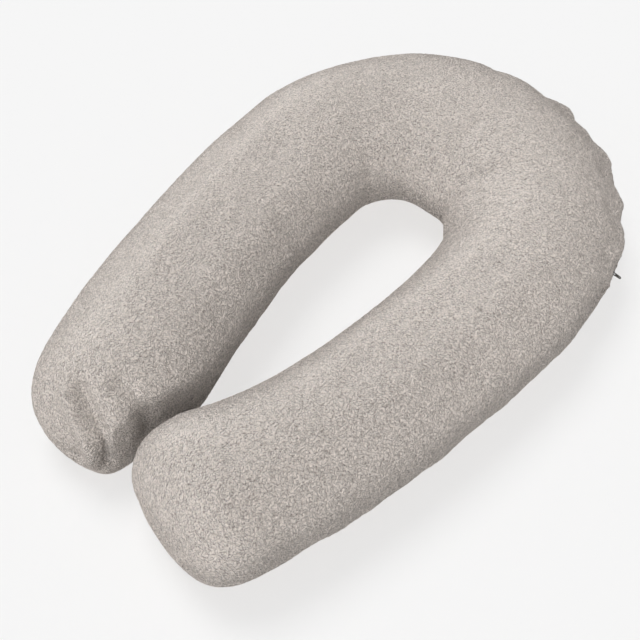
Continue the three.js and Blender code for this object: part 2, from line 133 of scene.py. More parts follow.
def lattice_hash(cell, seed):
    """A number from 0 to 1 for each integer cell."""
    x, y, z = (cell[..., k].astype(np.int64) for k in range(3))
    h = (x * 374761393 + y * 668265263 + z * 2147483647 + seed * 974634777) & 0xFFFFFFFF
    h = ((h ^ (h >> 13)) * 1274126177) & 0xFFFFFFFF
    h = ((h ^ (h >> 16)) * 2246822519) & 0xFFFFFFFF
    return ((h ^ (h >> 15)) & 0xFFFFFF) / float(0xFFFFFF)


def value_noise(points, size, seed):
    """Smooth noise from -1 to 1, with features of the given size."""
    scaled = points / size
    base = np.floor(scaled)
    part = scaled - base
    part = part * part * (3 - 2 * part)
    total = 0
    for corner in np.ndindex(2, 2, 2):
        weight = np.prod(np.where(np.array(corner), part, 1 - part), axis=-1)
        total = total + weight * lattice_hash(base + np.array(corner), seed)
    return total * 2 - 1


def uneven(points, *layers):
    """A sum of such noises, each given as its height, its size and its seed."""
    return sum(height * value_noise(points, size, seed) for height, size, seed in layers)


# ---- the swept skin
def by_arm(values, is_near):
    return np.where(is_near, values[1], values[0])


def along_skin(distance):
    """What the sections at signed distances from the top of the bend have in common."""
    is_near = distance >= 0
    run = np.abs(distance)
    arm_length = by_arm(ARM_LENGTH, is_near)
    bend_length = (math.pi / 2 + by_arm(ARM_TURN, is_near)) * BEND_RADIUS
    end = bend_length + arm_length
    cap = by_arm(CAP_LENGTH, is_near)
    into_cap = np.clip((run - end + cap) / cap, 0, 1)
    exponent = by_arm(CAP_EXPONENT, is_near)
    shrink = (1 - into_cap**exponent) ** (1 / exponent)
    height = BEND_HALF_HEIGHT + (by_arm(END_HALF_HEIGHT, is_near) - BEND_HALF_HEIGHT) * smooth(
        (run - bend_length) / arm_length, 0, 1
    )
    degrees = 90 - np.degrees(distance / BEND_RADIUS)
    return is_near, run, bend_length, end, into_cap, shrink, height, degrees


def seam_angles(distance):
    """How far below level the outer and inner seams lie, as angles round the section."""
    _, _, _, _, into_cap, shrink, _, degrees = along_skin(distance)
    dip = SEAM_DIP * (1 - into_cap**2) / np.maximum(shrink, 1e-6)
    outer_dip = dip * (1 - between(degrees, DIP_FRONT, DIP_BACK))
    outer, inner = (np.clip(level, 0, 1) ** (SECTION_EXPONENT / 2) for level in (outer_dip, dip))
    return np.arcsin(outer), np.arcsin(inner)


def sweep(distance, angle):
    """Points of the skin at distances along it and at angles round the section.

    Angle 0 is level and outwards, a quarter turn the top, a half turn level and inwards.
    """
    is_near, run, bend_length, end, into_cap, shrink, height, degrees = along_skin(distance)
    side = np.where(is_near, 1.0, -1.0)
    heading = math.pi / 2 - np.minimum(run, bend_length) / BEND_RADIUS
    turn = np.maximum(0, run - bend_length) / ARM_CURVE_RADIUS
    x = BEND_RADIUS * np.cos(heading) + ARM_CURVE_RADIUS * (np.cos(heading - turn) - np.cos(heading))
    y = BEND_RADIUS * np.sin(heading) + ARM_CURVE_RADIUS * (np.sin(heading - turn) - np.sin(heading))
    outward_x, outward_y = side * np.cos(heading - turn), np.sin(heading - turn)

    share = np.hypot(run / end, APEX_EASE) - APEX_EASE
    inner = (
        BEND_HALF_WIDTH * (1 - share) * (1 - 2 * share)
        + by_arm(MID_HALF_WIDTH, is_near) * 4 * share * (1 - share)
        + by_arm(END_HALF_WIDTH, is_near) * share * (2 * share - 1)
    )
    ray_x, ray_y = np.cos(np.radians(degrees)), np.sin(np.radians(degrees))
    along = ray_x * RIM_CENTRE_FROM_BEND.x + ray_y * RIM_CENTRE_FROM_BEND.y
    reach = along + np.sqrt(along**2 - RIM_CENTRE_FROM_BEND.length_squared + RIM_RADIUS**2)
    outer = inner + (reach - BEND_RADIUS - inner) * between(degrees, RIM_RISE, RIM_FALL)
    outer, inner = (
        half + amount * bump(degrees, at, spread)
        for half, (at, spread, amount) in ((outer, OUTER_CHANGE), (inner, INNER_CHANGE))
    )

    c, s = np.cos(angle), np.sin(angle)
    across = np.sign(c) * np.abs(c) ** (2 / SECTION_EXPONENT)
    level = np.sign(s) * np.abs(s) ** (2 / SECTION_EXPONENT)
    lateral = across * shrink * np.where(c > 0, outer, inner)
    middle = (MIDDLE_LEVEL - SEAM_DIP * into_cap**2) * height
    x = side * x + outward_x * lateral + bend_centre.x
    y = y + outward_y * lateral + bend_centre.y
    return np.stack([x, y, middle + level * shrink * height], axis=-1)


def settle(points, distance):
    """Rests the skin on the floor and presses the two arm ends flat against each other."""
    x, y, z = (points[..., k] for k in range(3))
    z = (z + np.sqrt(z * z + FLOOR_SOFTNESS**2)) / 2
    side = np.where(distance >= 0, 1.0, -1.0)
    along = bend_centre.y - y
    plane = bend_centre.x + CONTACT_X - CONTACT_LEAN * smooth(along, *LEAN_RANGE)
    over = side * (x - plane) - CONTACT_GAP / 2
    pressed = plane + side * (CONTACT_GAP / 2 + np.logaddexp(0, over / CONTACT_SOFTNESS) * CONTACT_SOFTNESS)
    return np.stack([x + (pressed - x) * smooth(along, *CONTACT_START), y, z], axis=-1)


def grid_normals(points, wraps):
    """Outward unit normals of a grid of points, rows along the pillow and columns round it."""
    along = np.gradient(points, axis=0)
    if wraps:
        around = np.roll(points, -1, axis=1) - np.roll(points, 1, axis=1)
    else:
        around = np.gradient(points, axis=1)
    normal = np.cross(around, along)
    normal = normal / np.maximum(np.linalg.norm(normal, axis=-1, keepdims=True), 1e-12)
    for row, inside in ((0, 1), (-1, -2)):
        tip = points[row].mean(0) - points[inside].mean(0)
        normal[row] = tip / np.linalg.norm(tip)
    return normal


# ---- where the grid's rows and columns lie
def superellipse_table(exponent, aspect, start, end):
    """Angles and the arc lengths at them along a superellipse."""
    angle = np.linspace(start, end, 6000)
    c, s = np.cos(angle), np.sin(angle)
    x = np.sign(c) * np.abs(c) ** (2 / exponent)
    y = aspect * np.sign(s) * np.abs(s) ** (2 / exponent)
    return angle, np.concatenate([[0], np.cumsum(np.hypot(np.diff(x), np.diff(y)))])


def station_distances(step_on_arm, step_on_bend, multiple):
    """Distances along the centreline from tip to tip, a whole multiple of steps on every stretch."""
    def steps(length, step):
        return max(1, round(length / step / multiple)) * multiple

    sides = []
    for arm in (0, 1):
        bend = (math.pi / 2 + ARM_TURN[arm]) * BEND_RADIUS
        straight = ARM_LENGTH[arm] - CAP_LENGTH[arm]
        on_bend = np.linspace(0, bend, steps(bend, step_on_bend) + 1)
        on_arm = bend + np.linspace(0, straight, steps(straight, step_on_arm) + 1)[1:]
        turn, length = superellipse_table(CAP_EXPONENT[arm], 1.0, 0, math.pi / 2)
        count = steps(length[-1] * CAP_LENGTH[arm], step_on_arm)
        turn = np.interp(np.linspace(0, length[-1], count + 1)[1:], length, turn)
        in_cap = bend + straight + CAP_LENGTH[arm] * np.sin(turn) ** (2 / CAP_EXPONENT[arm])
        in_cap[-1] = bend + ARM_LENGTH[arm]
        sides.append(np.concatenate([on_bend, on_arm, in_cap]))
    return np.concatenate([-sides[0][::-1], sides[1][1:]])


EDGE_DENSITY = 1.0  # how much closer together columns lie at a seam
EDGE_REACH = 0.07  # and over which share of a panel's width


def panel_shares(count):
    """Shares of a panel's width from 0 to 1 for its columns, closer together beside both seams."""
    share = np.linspace(0, 1, 2000)
    density = 1 + EDGE_DENSITY * (bump(share, 0, EDGE_REACH) + bump(share, 1, EDGE_REACH))
    total = np.concatenate([[0], np.cumsum((density[1:] + density[:-1]) / 2)])
    return np.interp(np.linspace(0, total[-1], count + 1), total, share)


def ring(distance, top_count, bottom_count):
    """The skin's points, rows at the distances, columns over the top panel and back under the bottom one.

    Also returns each column's place: 0 at the outer seam, 1 at the inner one, 2 back at the outer.
    """
    table_angle, table_length = superellipse_table(SECTION_EXPONENT, SECTION_ASPECT, -1, 2 * math.pi + 1)
    outer_dip, inner_dip = seam_angles(distance)
    stops = (-outer_dip, math.pi + inner_dip, 2 * math.pi - outer_dip)
    lengths = [np.interp(stop, table_angle, table_length) for stop in stops]
    top, bottom = panel_shares(top_count), panel_shares(bottom_count)
    over = lengths[0][:, None] + (lengths[1] - lengths[0])[:, None] * top
    under = lengths[1][:, None] + (lengths[2] - lengths[1])[:, None] * bottom[1:-1]
    angle = np.interp(np.concatenate([over, under], axis=1), table_length, table_angle)
    points = settle(sweep(distance[:, None], angle), distance[:, None])
    return points, np.concatenate([top, 1 + bottom[1:-1]])


# ---- meshes from arrays
WELD_DISTANCE = 1e-6


def linked(name, mesh):
    """A smooth-shaded object with a mesh, in the scene."""
    mesh.polygons.foreach_set("use_smooth", np.ones(len(mesh.polygons), bool))
    obj = bpy.data.objects.new(name, mesh)
    bpy.context.scene.collection.objects.link(obj)
    return obj


def from_bmesh(name, built):
    mesh = bpy.data.meshes.new(name)
    built.to_mesh(mesh)
    built.free()
    return linked(name, mesh)


def new_object(name, points, faces, attributes=None):
    """An object from points and faces, which are lists of indices. Attributes are vectors for each point."""
    mesh = bpy.data.meshes.new(name)
    mesh.from_pydata(points.reshape(-1, 3).tolist(), [], faces)
    for key, values in (attributes or {}).items():
        layer = mesh.attributes.new(key, "FLOAT_VECTOR", "POINT")
        layer.data.foreach_set("vector", np.ascontiguousarray(values, dtype=np.float32).ravel())
    mesh.update()
    return linked(name, mesh)


def closed_object(name, points, faces, place):
    """The same for a closed mesh of cloth or thread, with its faces turned outwards."""
    obj = new_object(name, points, faces, {"cloth_place": place})
    turn_outwards(obj)
    return obj


def grid_faces(rows, columns, wraps, offset=0, flip=False):
    """Quads of a grid. Where it wraps, the last column joins the first."""
    index = offset + np.arange(rows * columns).reshape(rows, columns)
    beside = np.roll(index, -1, axis=1) if wraps else index[:, 1:]
    here = index if wraps else index[:, :-1]
    quads = np.stack([here[:-1], beside[:-1], beside[1:], here[1:]], axis=-1).reshape(-1, 4)
    return (quads[:, ::-1] if flip else quads).tolist()


def end_caps(rows, sides):
    """The faces that close both ends of a grid that wraps."""
    return [list(range(sides))[::-1], [(rows - 1) * sides + k for k in range(sides)]]


def edit(obj, change):
    mesh = bmesh.new()
    mesh.from_mesh(obj.data)
    change(mesh)
    mesh.to_mesh(obj.data)
    mesh.free()


def weld(obj):
    """Merges the points that lie on each other, such as a whole row at an arm's tip."""
    edit(obj, lambda mesh: bmesh.ops.remove_doubles(mesh, verts=mesh.verts, dist=WELD_DISTANCE))


def turn_outwards(obj):
    edit(obj, lambda mesh: bmesh.ops.recalc_face_normals(mesh, faces=mesh.faces))


def apply_modifier(obj, modifier):
    bpy.context.view_layer.objects.active = obj
    bpy.ops.object.modifier_apply(modifier=modifier.name)


# ---- swelling by cloth simulation
SIM_VOXEL = 8 * MM
SIM_FRAMES = 20
SIM_INSET = 4 * MM  # the bag starts this much smaller than the skin
SIM_SEARCH = 22 * MM  # how far from the skin the swollen bag is looked for
SIM_CAP = 9 * MM  # the most that it counts for
SIM_SOFTENING = 6  # times that the result is averaged with its neighbours
SIM_SHARE = 0.4  # how much of the simulated swelling and sagging the skin takes on
SIM_SEAM_DROP, SIM_SEAM_REACH, SIM_SEAM_LEAST = 14 * MM, 12 * MM, 0.05
SIM_CLOTH = {
    "quality": 6,
    "mass": 0.3,
    "tension_stiffness": 15,
    "compression_stiffness": 15,
    "shear_stiffness": 5,
    "bending_stiffness": 2,
    "use_pressure": True,
    "uniform_pressure_force": 6,
    "vertex_group_shrink": "seam",
    "shrink_min": -0.01,
    "shrink_max": 0.03,
}


def swell(points):
    """How far a pressurised bag of this shape stands out along the normals, as a grid of lengths."""
    normals = grid_normals(points, True)
    bag = new_object("swelling_bag", points - normals * SIM_INSET, grid_faces(*points.shape[:2], True))
    remesh = bag.modifiers.new("even quads", "REMESH")
    remesh.mode, remesh.voxel_size = "VOXEL", SIM_VOXEL
    apply_modifier(bag, remesh)

    seam = bag.vertex_groups.new(name="seam")
    for vertex in bag.data.vertices:
        near = float(bump(vertex.co.z, seam_height - SIM_SEAM_DROP, SIM_SEAM_REACH))
        if near > SIM_SEAM_LEAST:
            seam.add([vertex.index], near, "REPLACE")
    cloth = bag.modifiers.new("cloth", "CLOTH")
    for key, value in SIM_CLOTH.items():
        setattr(cloth.settings, key, value)
    cloth.settings.effector_weights.gravity = 0
    cloth.collision_settings.use_collision = False
    scene = bpy.context.scene
    for step in range(1, SIM_FRAMES + 1):
        scene.frame_set(step)
    tree = BVHTree.FromObject(bag, bpy.context.evaluated_depsgraph_get())
    scene.frame_set(1)

    out = np.zeros(points.shape[:2])
    for i, j in np.ndindex(*out.shape):
        normal = Vector(normals[i, j])
        hit = tree.ray_cast(Vector(points[i, j]) - normal * SIM_SEARCH, normal, 2 * SIM_SEARCH)
        out[i, j] = hit[3] - SIM_SEARCH if hit[0] is not None else 0
    bpy.data.objects.remove(bag)
    return np.clip(out, -SIM_CAP, SIM_CAP)


def cubic_weights(position, count, wraps):
    """Four neighbours and their weights for reading a row of samples smoothly at fractional places."""
    base = np.floor(position).astype(int)
    t = position - base
    index = np.stack([base - 1, base, base + 1, base + 2], axis=-1)
    index = index % count if wraps else np.clip(index, 0, count - 1)
    weight = np.stack([
        -0.5 * t + t**2 - 0.5 * t**3, 1 - 2.5 * t**2 + 1.5 * t**3,
        0.5 * t + 2 * t**2 - 1.5 * t**3, -0.5 * t**2 + 0.5 * t**3,
    ], axis=-1)
    return index, weight


def resample(grid, row_place, column_place):
    """Reads a grid that wraps round its columns at fractional rows and columns."""
    index, weight = cubic_weights(row_place, grid.shape[0], False)
    grid = np.einsum("rkc,rk->rc", grid[index], weight)
    index, weight = cubic_weights(column_place, grid.shape[1], True)
    return np.einsum("rck,ck->rc", grid[:, index], weight)


def soften(grid, times):
    """Averages each value of a grid that wraps round its columns with its neighbours."""
    for _ in range(times):
        grid = (np.roll(grid, 1, axis=1) + np.roll(grid, -1, axis=1) + 2 * grid) / 4
        padded = np.concatenate([grid[:1], grid, grid[-1:]])
        grid = (padded[:-2] + padded[2:] + 2 * grid) / 4
    return grid


# ---- creases and dents, in mm from the bend's centre
# Each crease: from, to, height and width, all seen from above. They lie on the pillow's upper side.
CREASES = (
    ((-125, -538), (-50, -567), 8.0, 8),
    ((-115, -522), (-38, -551), -14.0, 10),
    ((-135, -560), (-80, -572), -4.0, 8),
    ((-72, -488), (-22, -482), -9.0, 13),
    ((-60, -515), (-32, -508), 4.0, 9),
    ((-34, -510), (-38, -550), -6.0, 7),
    ((0, 45), (3, 165), -2.2, 10),
    ((35, 45), (86, 124), -2.4, 10),
    ((-38, 45), (-58, 90), -2.0, 9),
    ((-68, 5), (-95, 30), -1.8, 9),
    ((-68, -152), (-105, -147), -2.0, 12),
)
CREASE_FLOOR = (35, 60)  # heights between which the creases fade out downwards
# Each push on the outline: its arm, -1 far or 1 near, its centre, its radius, and how far it moves the skin.
PUSHES = (
    (1, (130, -630), 80, (-2, 13)),
    (1, (20, -520), 75, (-18, 0)),
    (-1, (-125, -600), 70, (7, 9)),
    (-1, (0, -510), 100, (-18, 0)),
    (-1, (-15, -545), 45, (0, -6)),
)


def crease_height(points):
    """How far the creases raise the skin."""
    plan = points[..., :2] - np.array(bend_centre[:2])
    total = 0
    for start, end, height, width in CREASES:
        start, along = np.array(start) * MM, (np.array(end) - start) * MM
        share = np.clip((plan - start) @ along / (along @ along), 0, 1)
        gap = np.linalg.norm(plan - start - share[..., None] * along, axis=-1)
        total = total + height * MM * bump(gap, 0, width * MM)
    return total * smooth(points[..., 2], CREASE_FLOOR[0] * MM, CREASE_FLOOR[1] * MM)


def pushed(points, distance):
    """The skin with its outline pushed in and out."""
    plan = points[..., :2] - np.array(bend_centre[:2])
    moved = points.copy()
    for side, centre, radius, move in PUSHES:
        gap = np.linalg.norm(plan - np.array(centre) * MM, axis=-1)
        share = bump(gap, 0, radius * MM) * (np.sign(distance) == side)
        moved[..., :2] += np.array(move) * MM * share[..., None]
    return moved


# ---- the full-detail skin
STEP_ON_ARM = 2.55 * MM
STEP_ON_BEND = 2.0 * MM
TOP_COUNT, BOTTOM_COUNT = 116, 100
COARSER = 4  # the cover's hidden side, the case and the filling use every fourth point
SIM_STEP = 9 * MM
SIM_COUNT = 48
LUMPS = ((1.4 * MM, 110 * MM, 5), (0.7 * MM, 42 * MM, 6))
ZIP_CALM = (14 * MM, 40 * MM)  # heights from the seam below which nothing swells beside the zip

distance = station_distances(STEP_ON_ARM, STEP_ON_BEND, COARSER)
skin, column_place = ring(distance, TOP_COUNT, BOTTOM_COUNT)

swelling = np.zeros(skin.shape[:2])
coarse_distance = station_distances(SIM_STEP, SIM_STEP, 1)
coarse_skin, coarse_place = ring(coarse_distance, SIM_COUNT, SIM_COUNT)
coarse_swelling = soften(swell(coarse_skin), SIM_SOFTENING)
coarse_swelling = SIM_SHARE * (coarse_swelling - coarse_swelling.mean())
row = np.interp(distance, coarse_distance, np.arange(len(coarse_distance)))
column = np.interp(column_place, np.append(coarse_place, 2), np.arange(len(coarse_place) + 1))
swelling = resample(coarse_swelling, row, column)

from_bend = skin[..., :2] - np.array(bend_centre[:2])
polar = np.degrees(np.arctan2(from_bend[..., 1], from_bend[..., 0]))
above_seam = skin[..., 2] - seam_height
is_outer = np.hypot(from_bend[..., 0], from_bend[..., 1]) > BEND_RADIUS
zip_share = between(polar, ZIP_RISE, ZIP_FALL) * is_outer
calm = 1 - zip_share * (1 - smooth(np.abs(above_seam), *ZIP_CALM))
skin = skin + grid_normals(skin, True) * ((swelling + uneven(skin, *LUMPS)) * calm)[..., None]
skin = settle(pushed(skin, distance[:, None]), distance[:, None])
skin = skin + grid_normals(skin, True) * crease_height(skin)[..., None]
skin = settle(skin, distance[:, None])
skin[..., 2] -= (skin[..., 2].min() - FLOOR_GAP) * (1 - smooth(skin[..., 2], 0, REST_HEIGHT))
normals = grid_normals(skin, True)

# The zip draws the cover in at a few places along the rim: degrees about the bend's centre, and how strongly.
GATHERS = ((23, 0.6), (38.5, 1), (51, 1), (66, 0.7), (75, 1), (86, 1), (101, 0.6))
GATHER_WIDTH = 2.2
GATHER_DEPTH_AT_LIP = 3.2 * MM  # the tape lies close behind
GATHER_DEPTH = 13.0 * MM
RIM_BULGE = 0.6 * MM
RIPPLE = (1.8 * MM, 7 * MM, 9)
# Where the lips fold outwards: degrees, half the stretch, and how far in mm.
FOLDS = ((31, 4.5, 5), (44, 3, 5), (60, 5, 8), (70, 2.5, 3), (79.5, 4.5, 10), (94, 5, 4))
# Distances over the skin from the zip where each of them rises and falls again, or its middle and spread.
LIP_GATHER_REACH = ((1 * MM, 7 * MM), (17 * MM, 34 * MM))
GATHER_REACH = ((17 * MM, 34 * MM), (36 * MM, 75 * MM))
BULGE_REACH = ((0, 12 * MM), (16 * MM, 60 * MM))
RIPPLE_REACH = ((0, 6 * MM), (8 * MM, 24 * MM))
FOLD_REACH = (15 * MM, 9 * MM)


def rim_shift(points, polar_degrees, run):
    """How far outwards the cover stands along the zip, at distances over the skin from the zip."""
    gather = sum(share * np.exp(-np.abs(polar_degrees - at) / GATHER_WIDTH) for at, share in GATHERS)
    depth = GATHER_DEPTH_AT_LIP * between(run, *LIP_GATHER_REACH) + GATHER_DEPTH * between(run, *GATHER_REACH)
    bulge = RIM_BULGE * between(run, *BULGE_REACH)
    ripple = uneven(points, RIPPLE) * between(run, *RIPPLE_REACH)
    fold = sum(amount * MM * bump(polar_degrees, at, half) for at, half, amount in FOLDS)
    return bulge - gather * depth + ripple + fold * bump(run, *FOLD_REACH)


# ---- the cover's panels
# A lip's outline beside the zip: steps over the fleece from its sewn edge, as [outwards, rise].
LIP_STEP = 3 * MM
LIP = np.array([
    (-4.2, 5.6), (-1.8, 5.4), (0.6, 5.1), (2.0, 6.8), (2.2, 9.4), (1.8, 12.3), (1.2, 15.2), (0.6, 18.1),
]) * MM


# How far the seams are drawn in, and how far that reaches; the unevenness beside them; and how they lift.
TUCKS = ((3.2 * MM, 4 * MM), (1.0 * MM, 16 * MM))
SEAM_WAVE, SEAM_WAVE_REACH = (1.8 * MM, 40 * MM, 11), 26 * MM
SEAM_PUCKER, SEAM_PUCKER_REACH = (0.7 * MM, 12 * MM, 12), (6 * MM, 9 * MM)
SEAM_GAP, SEAM_GAP_REACH = 0.4 * MM, 8 * MM
END_TUCK_LOSS = 0.7  # how much less the seam is tucked in at the arms' ends
LIP_TO_SKIN = (9 * MM, 19 * MM)  # distances over which a lip turns into the skin
ZIP_SIDE = 100 * MM  # a panel's zipped side ends this far from the zip
# The fleece's back: how much closer it lies at the zip's lips, and the lowest heights of both sides.
LIP_THINNING, LIP_THINNING_REACH = 1.0 * MM, (5 * MM, 6 * MM)
BACK_FLOOR, FLEECE_FLOOR = 1.5 * MM, 0.1 * MM
CURL_START = (0, 3 * MM)  # distances from a sewn edge over which the curls begin
PRESSED_SHARE, PRESSED_HEIGHT = 0.35, (2 * MM, 10 * MM)  # how much of the curls is left on the floor


def lip_outline(run):
    """Outward and upward places on a lip at distances from its sewn edge."""
    index, weight = cubic_weights(np.clip(run / LIP_STEP, 0, len(LIP) - 1.001), len(LIP), False)
    return np.einsum("...k,...kc->...c", weight, LIP[index])


def shaped_panel(is_upper):
    """A panel's outside before its curls: the skin with its seams tucked in and its zip lips rolled."""
    columns = np.arange(TOP_COUNT + 1) if is_upper else np.append(np.arange(TOP_COUNT, skin.shape[1]), 0)
    base, out = skin[:, columns], normals[:, columns]
    step = np.linalg.norm(np.diff(base, axis=1), axis=-1)
    run = np.concatenate([np.zeros((len(base), 1)), np.cumsum(step, axis=1)], axis=1)
    outer_run, inner_run = (run, run[:, -1:] - run) if is_upper else (run[:, -1:] - run, run)
    up = 1 if is_upper else -1
    run = np.minimum(outer_run, inner_run)
    zipped = np.where(outer_run < ZIP_SIDE, zip_share[:, [0]], 0)

    into_cap = along_skin(distance)[4]
    tuck = sum(depth * bump(run, 0, reach) for depth, reach in TUCKS)
    tuck = tuck * (1 - END_TUCK_LOSS * smooth(into_cap, 0, 0.5))[:, None]
    wave = uneven(base, SEAM_WAVE) * bump(run, 0, SEAM_WAVE_REACH)
    pucker = uneven(base * [1, 1, 0.3], SEAM_PUCKER) * bump(run, *SEAM_PUCKER_REACH)
    surface = base + out * ((wave + pucker - tuck) * (1 - zipped))[..., None]
    surface[..., 2] += up * SEAM_GAP * (1 - smooth(run, 0, SEAM_GAP_REACH)) * (1 - zipped)

    radial = np.zeros_like(base)
    radial[..., :2] = base[..., :2] - np.array(rim_centre[:2])
    radial /= np.linalg.norm(radial, axis=-1, keepdims=True)
    shift = rim_shift(base, polar[:, columns], outer_run)
    place = lip_outline(outer_run)
    lip = np.array(rim_centre) + radial * (RIM_RADIUS + place[..., :1])
    lip[..., 2] += up * place[..., 1]
    far = smooth(outer_run, *LIP_TO_SKIN)[..., None]
    rolled = lip * (1 - far) + base * far + radial * shift[..., None]
    return surface * (1 - zipped[..., None]) + rolled * zipped[..., None], run, zipped


# Where a panel's faces lie in its bake: two strips for its outside, two for its back, and slivers for its edges.
OUTSIDE_STRIPS = ((0.0, 0.345), (0.35, 0.695))
BACK_STRIPS = ((0.70, 0.83), (0.835, 0.965))
EDGE_SLIVERS = ((0.97, 0.98), (0.985, 0.995))


def grid_places(rows, columns, strips, flip=False):
    """Bake places for every corner of a grid's quads, its rows cut into one stretch for each strip."""
    cut = math.ceil((rows - 1) / len(strips))
    row, column = np.divmod(np.arange((rows - 1) * (columns - 1)), columns - 1)
    strip = row // cut
    low, high = np.array(strips)[strip].T
    corners = ((0, 0), (0, 1), (1, 1), (1, 0))
    places = np.stack([
        np.stack([low + (high - low) * (column + dc) / (columns - 1), (row + dr - strip * cut) / cut], axis=-1)
        for dr, dc in (corners[::-1] if flip else corners)
    ], axis=1)
    return places.reshape(-1, 2)


def edge_faces(rows, cols, back_rows, back_cols):
    """Joins a panel's outside to its coarser back along both sewn edges. Gives the faces and their bake places."""
    faces, places = [], []
    half = COARSER // 2
    for is_last, (low, high) in enumerate(EDGE_SLIVERS):
        for k in range(back_rows - 1):
            here = rows * cols + k * back_cols + is_last * (back_cols - 1)
            there = here + back_cols
            edge = [(k * COARSER + m) * cols + is_last * (cols - 1) for m in range(COARSER + 1)]
            fan = [(edge[m], edge[m + 1], here if m < half else there) for m in range(COARSER)]
            fan.append((here, edge[half], there))
            fan = [face[::-1] if is_last else face for face in fan]
            share = {point: (low, (k + m / COARSER) / (back_rows - 1)) for m, point in enumerate(edge)}
            share.update({here: (high, k / (back_rows - 1)), there: (high, (k + 1) / (back_rows - 1))})
            faces += fan
            places += [share[point] for face in fan for point in face]
    return faces, places


def panel(name, is_upper):
    """One panel of the cover as a closed shell: the fleece's outside and its smooth back, joined at the edges."""
    surface, run, zipped = shaped_panel(is_upper)
    thickness = COVER_THICKNESS - LIP_THINNING * zipped * bump(run, *LIP_THINNING_REACH)
    back = (surface - grid_normals(surface, False) * thickness[..., None])[::COARSER, ::COARSER]
    back[..., 2] = np.maximum(back[..., 2], BACK_FLOOR)
    points = np.concatenate([surface.reshape(-1, 3), back.reshape(-1, 3)])

    size, back_size = surface.shape[:2], back.shape[:2]
    faces = grid_faces(*size, False) + grid_faces(*back_size, False, size[0] * size[1], flip=True)
    edges, edge_places = edge_faces(*size, *back_size)
    fluff = np.zeros_like(points)
    on_floor = 1 - smooth(surface[..., 2], *PRESSED_HEIGHT)
    fluff[:run.size, 0] = (smooth(run, *CURL_START) * (1 - (1 - PRESSED_SHARE) * on_floor)).ravel()
    obj = new_object(name, points, faces + edges, {"fleece_place": points, "fluff": fluff})
    unwrap = obj.data.uv_layers.new(name="OFBake")
    unwrap.uv.foreach_set("vector", np.concatenate([
        grid_places(*size, OUTSIDE_STRIPS), grid_places(*back_size, BACK_STRIPS, flip=True), edge_places,
    ]).astype(np.float32).ravel())
    weld(obj)
    curl(obj)
    for vertex in obj.data.vertices:
        vertex.co.z = max(vertex.co.z, FLEECE_FLOOR)
    return obj


# ---- the fleece's curls, in a modifier and a material
# Scales are in features per metre. The crevices follow the middle level of a noise, and tufts lie on the ridges.
CURL_SCALE = 265.0
CURL_WARP_SCALE = 300.0
CURL_WARP = 2.0 * MM
CURL_STEEPNESS = 3.4
CURL_SHARE = 0.55
TUFT_SCALE = 560.0
TUFT_GAIN, TUFT_LEVEL = 1.2, -0.4
CURL_HEIGHT = 1.3 * MM


def add_node(tree, kind, inputs=None, **settings):
    made = tree.nodes.new(kind)
    for key, value in settings.items():
        setattr(made, key, value)
    for key, value in (inputs or {}).items():
        if isinstance(value, bpy.types.NodeSocket):
            tree.links.new(value, made.inputs[key])
        else:
            made.inputs[key].default_value = value
    return made


def maths(tree, operation, first, second=0.0, third=0.0):
    return add_node(tree, "ShaderNodeMath", {0: first, 1: second, 2: third}, operation=operation).outputs[0]


def muladd(tree, value, factor, added):
    return maths(tree, "MULTIPLY_ADD", value, factor, added)


def vector(tree, operation, first, second):
    """The result of a vector operation, whose second input is a number only when it scales."""
    inputs = {0: first, "Scale" if operation == "SCALE" else 1: second}
    return add_node(tree, "ShaderNodeVectorMath", inputs, operation=operation).outputs[0]


def split(tree, place):
    return add_node(tree, "ShaderNodeSeparateXYZ", {0: place}).outputs


def curl_nodes(tree, place):
    """Adds nodes for the curls' height at a place, about 0 to 1: winding ridges and the tufts on them.

    The same nodes serve the mesh's relief and the material, so that both agree; in the material the low parts are
    darker, as painted shade in the crevices between the curls.
    """
    warp = add_node(tree, "ShaderNodeTexNoise", {"Vector": place, "Scale": CURL_WARP_SCALE, "Detail": 1.0})
    centred = vector(tree, "SUBTRACT", warp.outputs["Color"], (0.5, 0.5, 0.5))
    moved = vector(tree, "ADD", place, vector(tree, "SCALE", centred, CURL_WARP))
    slope = maths(tree, "ABSOLUTE", muladd(tree, noise(tree, moved, CURL_SCALE, 0.0), 2.0, -1.0))
    billow = maths(tree, "MINIMUM", maths(tree, "MULTIPLY", slope, CURL_STEEPNESS), 1.0)
    tufts = muladd(tree, noise(tree, moved, TUFT_SCALE, 1.0), TUFT_GAIN, TUFT_LEVEL)
    return muladd(tree, billow, CURL_SHARE, tufts)


def curl(obj):
    """Raises the curls as real relief, by the object's attribute fluff, and leaves its other points alone."""
    tree = bpy.data.node_groups.new("curls", "GeometryNodeTree")
    tree.interface.new_socket("Geometry", in_out="INPUT", socket_type="NodeSocketGeometry")
    tree.interface.new_socket("Geometry", in_out="OUTPUT", socket_type="NodeSocketGeometry")
    start, end = tree.nodes.new("NodeGroupInput"), tree.nodes.new("NodeGroupOutput")
    place = add_node(tree, "GeometryNodeInputPosition").outputs[0]
    height = curl_nodes(tree, place)
    fluff = add_node(tree, "GeometryNodeInputNamedAttribute", {"Name": "fluff"}, data_type="FLOAT_VECTOR")
    amount = split(tree, fluff.outputs["Attribute"])[0]
    raised = maths(tree, "MULTIPLY", maths(tree, "SUBTRACT", height, 0.5), amount)
    normal = add_node(tree, "GeometryNodeInputNormal").outputs[0]
    offset = vector(tree, "SCALE", normal, maths(tree, "MULTIPLY", raised, CURL_HEIGHT))
    moved = add_node(tree, "GeometryNodeSetPosition", {"Geometry": start.outputs[0], "Offset": offset})
    tree.links.new(moved.outputs[0], end.inputs[0])
    modifier = obj.modifiers.new("curls", "NODES")
    modifier.node_group = tree
    apply_modifier(obj, modifier)


# ---- materials
def srgb(r, g, b):
    return tuple(((c / 255 + 0.055) / 1.055) ** 2.4 for c in (r, g, b)) + (1,)


